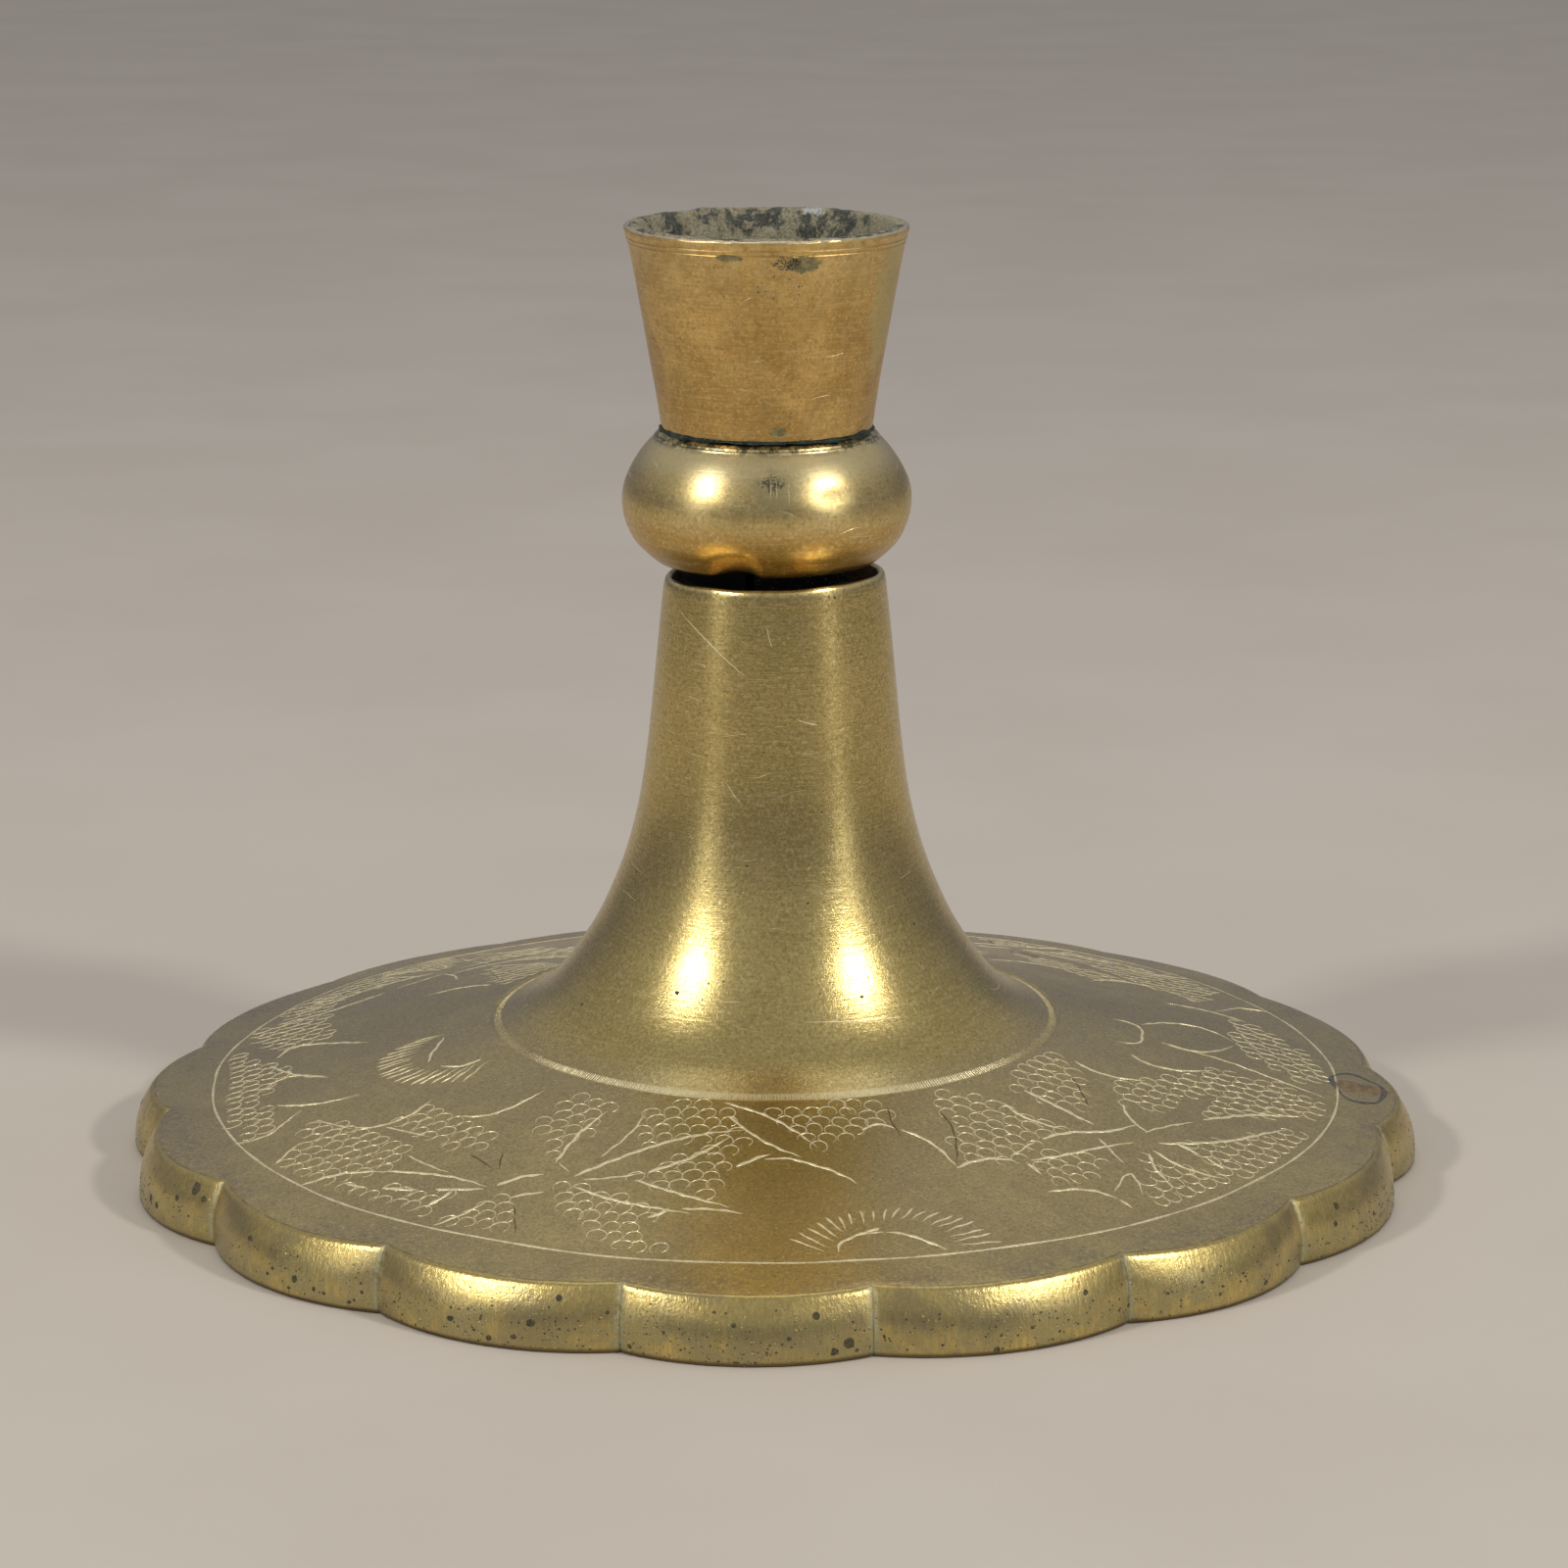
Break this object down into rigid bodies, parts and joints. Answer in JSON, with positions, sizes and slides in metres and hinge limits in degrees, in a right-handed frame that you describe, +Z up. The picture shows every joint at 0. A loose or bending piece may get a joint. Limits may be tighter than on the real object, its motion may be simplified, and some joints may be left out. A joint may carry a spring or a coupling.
{
  "type": "candlestick",
  "caption": "Short brass candlestick: engraved scalloped foot drawn up into a flared stem, with a lift-out knop and tapered candle cup.",
  "frame": {"origin": "on the axis of the foot, at the surface the candlestick stands on", "axes": "+Z up along the stem; -Y faces the viewer; the foot's cusps are spaced evenly from 7.9 degrees off +X"},
  "size_m": [0.1296, 0.1296, 0.0941],
  "materials": {
    "foot_brass": "cast and turned brass with an olive-brown patina, bright engraved lines and dark pits",
    "knop_brass": "polished brass, rubbed bright on the belly, fine scratches",
    "cup_brass": "turned brass, warm tarnish outside, verdigris and old wax inside"
  },
  "bodies": {
    "stand": {"foot_and_stem": "foot_brass"},
    "upper_section": {"knop": "knop_brass", "candle_cup": "cup_brass"}
  },
  "joints": [
    {"name": "socket_lift", "type": "slide", "parent": "stand", "child": "upper_section", "axis": [0, 0, 1], "range_m": [0, 0.02]}
  ]
}
